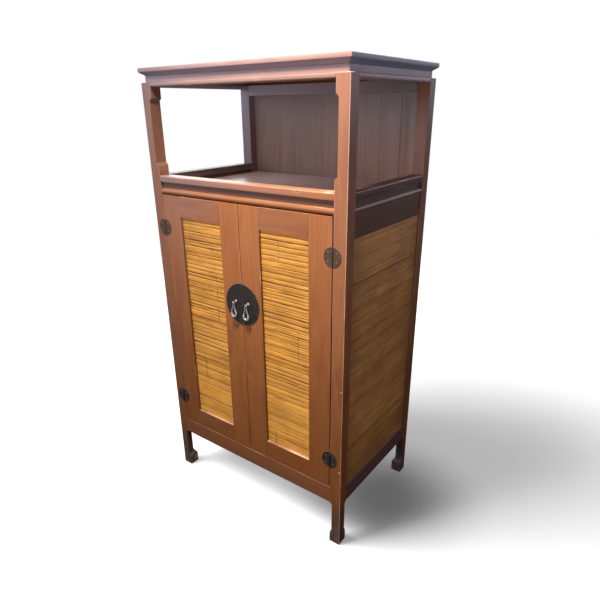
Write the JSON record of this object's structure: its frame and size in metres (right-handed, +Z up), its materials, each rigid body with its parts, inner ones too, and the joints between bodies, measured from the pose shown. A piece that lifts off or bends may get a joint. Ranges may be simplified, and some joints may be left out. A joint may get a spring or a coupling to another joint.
{
  "type": "tv cabinet",
  "caption": "Tall wooden TV cabinet with an open niche above and a cupboard below, hinged doors with split bamboo panels, round iron plates, drop pulls and hoof feet.",
  "frame": {"origin": "on the floor under the middle of the cabinet's plan", "axes": "+Z up, +X to the right seen from the front, the doors face -Y"},
  "size_m": [0.83, 0.5602, 1.6],
  "materials": {
    "wood": "reddish brown wood with knots, satin lacquer, pale worn edges",
    "inside_wood": "plain brown boards, dull stain",
    "bamboo": "golden split bamboo strips laid crosswise, satin",
    "black_iron": "blackened forged plate, slightly worn on the rim",
    "worn_iron": "bare iron polished by handling, dark in the hollows"
  },
  "bodies": {
    "carcass": {"post_front_left": "wood", "post_front_right": "wood", "post_back_left": "wood", "post_back_right": "wood", "top_rail_front": "wood", "top_rail_right": "wood", "top_rail_left": "wood", "top_rail_back": "wood", "frieze_front": "wood", "frieze_right": "wood", "frieze_left": "wood", "frieze_back": "wood", "cornice_front": "wood", "cornice_right": "wood", "cornice_back": "wood", "cornice_left": "wood", "top_panel": "wood", "shelf_rail_front": "wood", "shelf_rail_right": "wood", "shelf_rail_left": "wood", "shelf_rail_back": "wood", "shelf_apron_front": "wood", "shelf_apron_right": "wood", "shelf_apron_left": "wood", "shelf_panel": "wood", "side_board_right": "wood", "side_board_left": "wood", "side_bamboo_right": "bamboo", "side_bamboo_left": "bamboo", "bottom_rail_front": "wood", "bottom_rail_right": "wood", "bottom_rail_left": "wood", "bottom_rail_back": "wood", "cupboard_floor": "inside_wood", "back_boards": "inside_wood", "left_upper_hinge_post_leaf": "black_iron", "left_lower_hinge_post_leaf": "black_iron", "right_upper_hinge_post_leaf": "black_iron", "right_lower_hinge_post_leaf": "black_iron"},
    "left_door": {"left_door_lock_stile": "wood", "left_door_hinge_stile": "wood", "left_door_bottom_rail": "wood", "left_door_top_rail": "wood", "left_door_bamboo": "bamboo", "left_upper_hinge_door_leaf": "black_iron", "left_lower_hinge_door_leaf": "black_iron", "left_lock_plate": "black_iron", "left_pull_staple": "worn_iron"},
    "right_door": {"right_door_lock_stile": "wood", "right_door_hinge_stile": "wood", "right_door_bottom_rail": "wood", "right_door_top_rail": "wood", "right_door_bamboo": "bamboo", "right_upper_hinge_door_leaf": "black_iron", "right_lower_hinge_door_leaf": "black_iron", "right_lock_plate": "black_iron", "right_pull_staple": "worn_iron"},
    "left_drop_pull": {"left_pull": "worn_iron"},
    "right_drop_pull": {"right_pull": "worn_iron"}
  },
  "joints": [
    {"name": "left_door_hinge", "type": "hinge", "parent": "carcass", "child": "left_door", "pos_m": [-0.3645, -0.2703, 0.71875], "axis": [0, 0, -1], "range_deg": [0, 170]},
    {"name": "right_door_hinge", "type": "hinge", "parent": "carcass", "child": "right_door", "pos_m": [0.3645, -0.2703, 0.71875], "axis": [0, 0, 1], "range_deg": [0, 170]},
    {"name": "left_pull_swing", "type": "hinge", "parent": "left_door", "child": "left_drop_pull", "pos_m": [-0.028, -0.2836, 0.8555], "axis": [-1, 0, 0], "range_deg": [-10, 90]},
    {"name": "right_pull_swing", "type": "hinge", "parent": "right_door", "child": "right_drop_pull", "pos_m": [0.028, -0.2836, 0.8555], "axis": [-1, 0, 0], "range_deg": [-10, 90]}
  ]
}
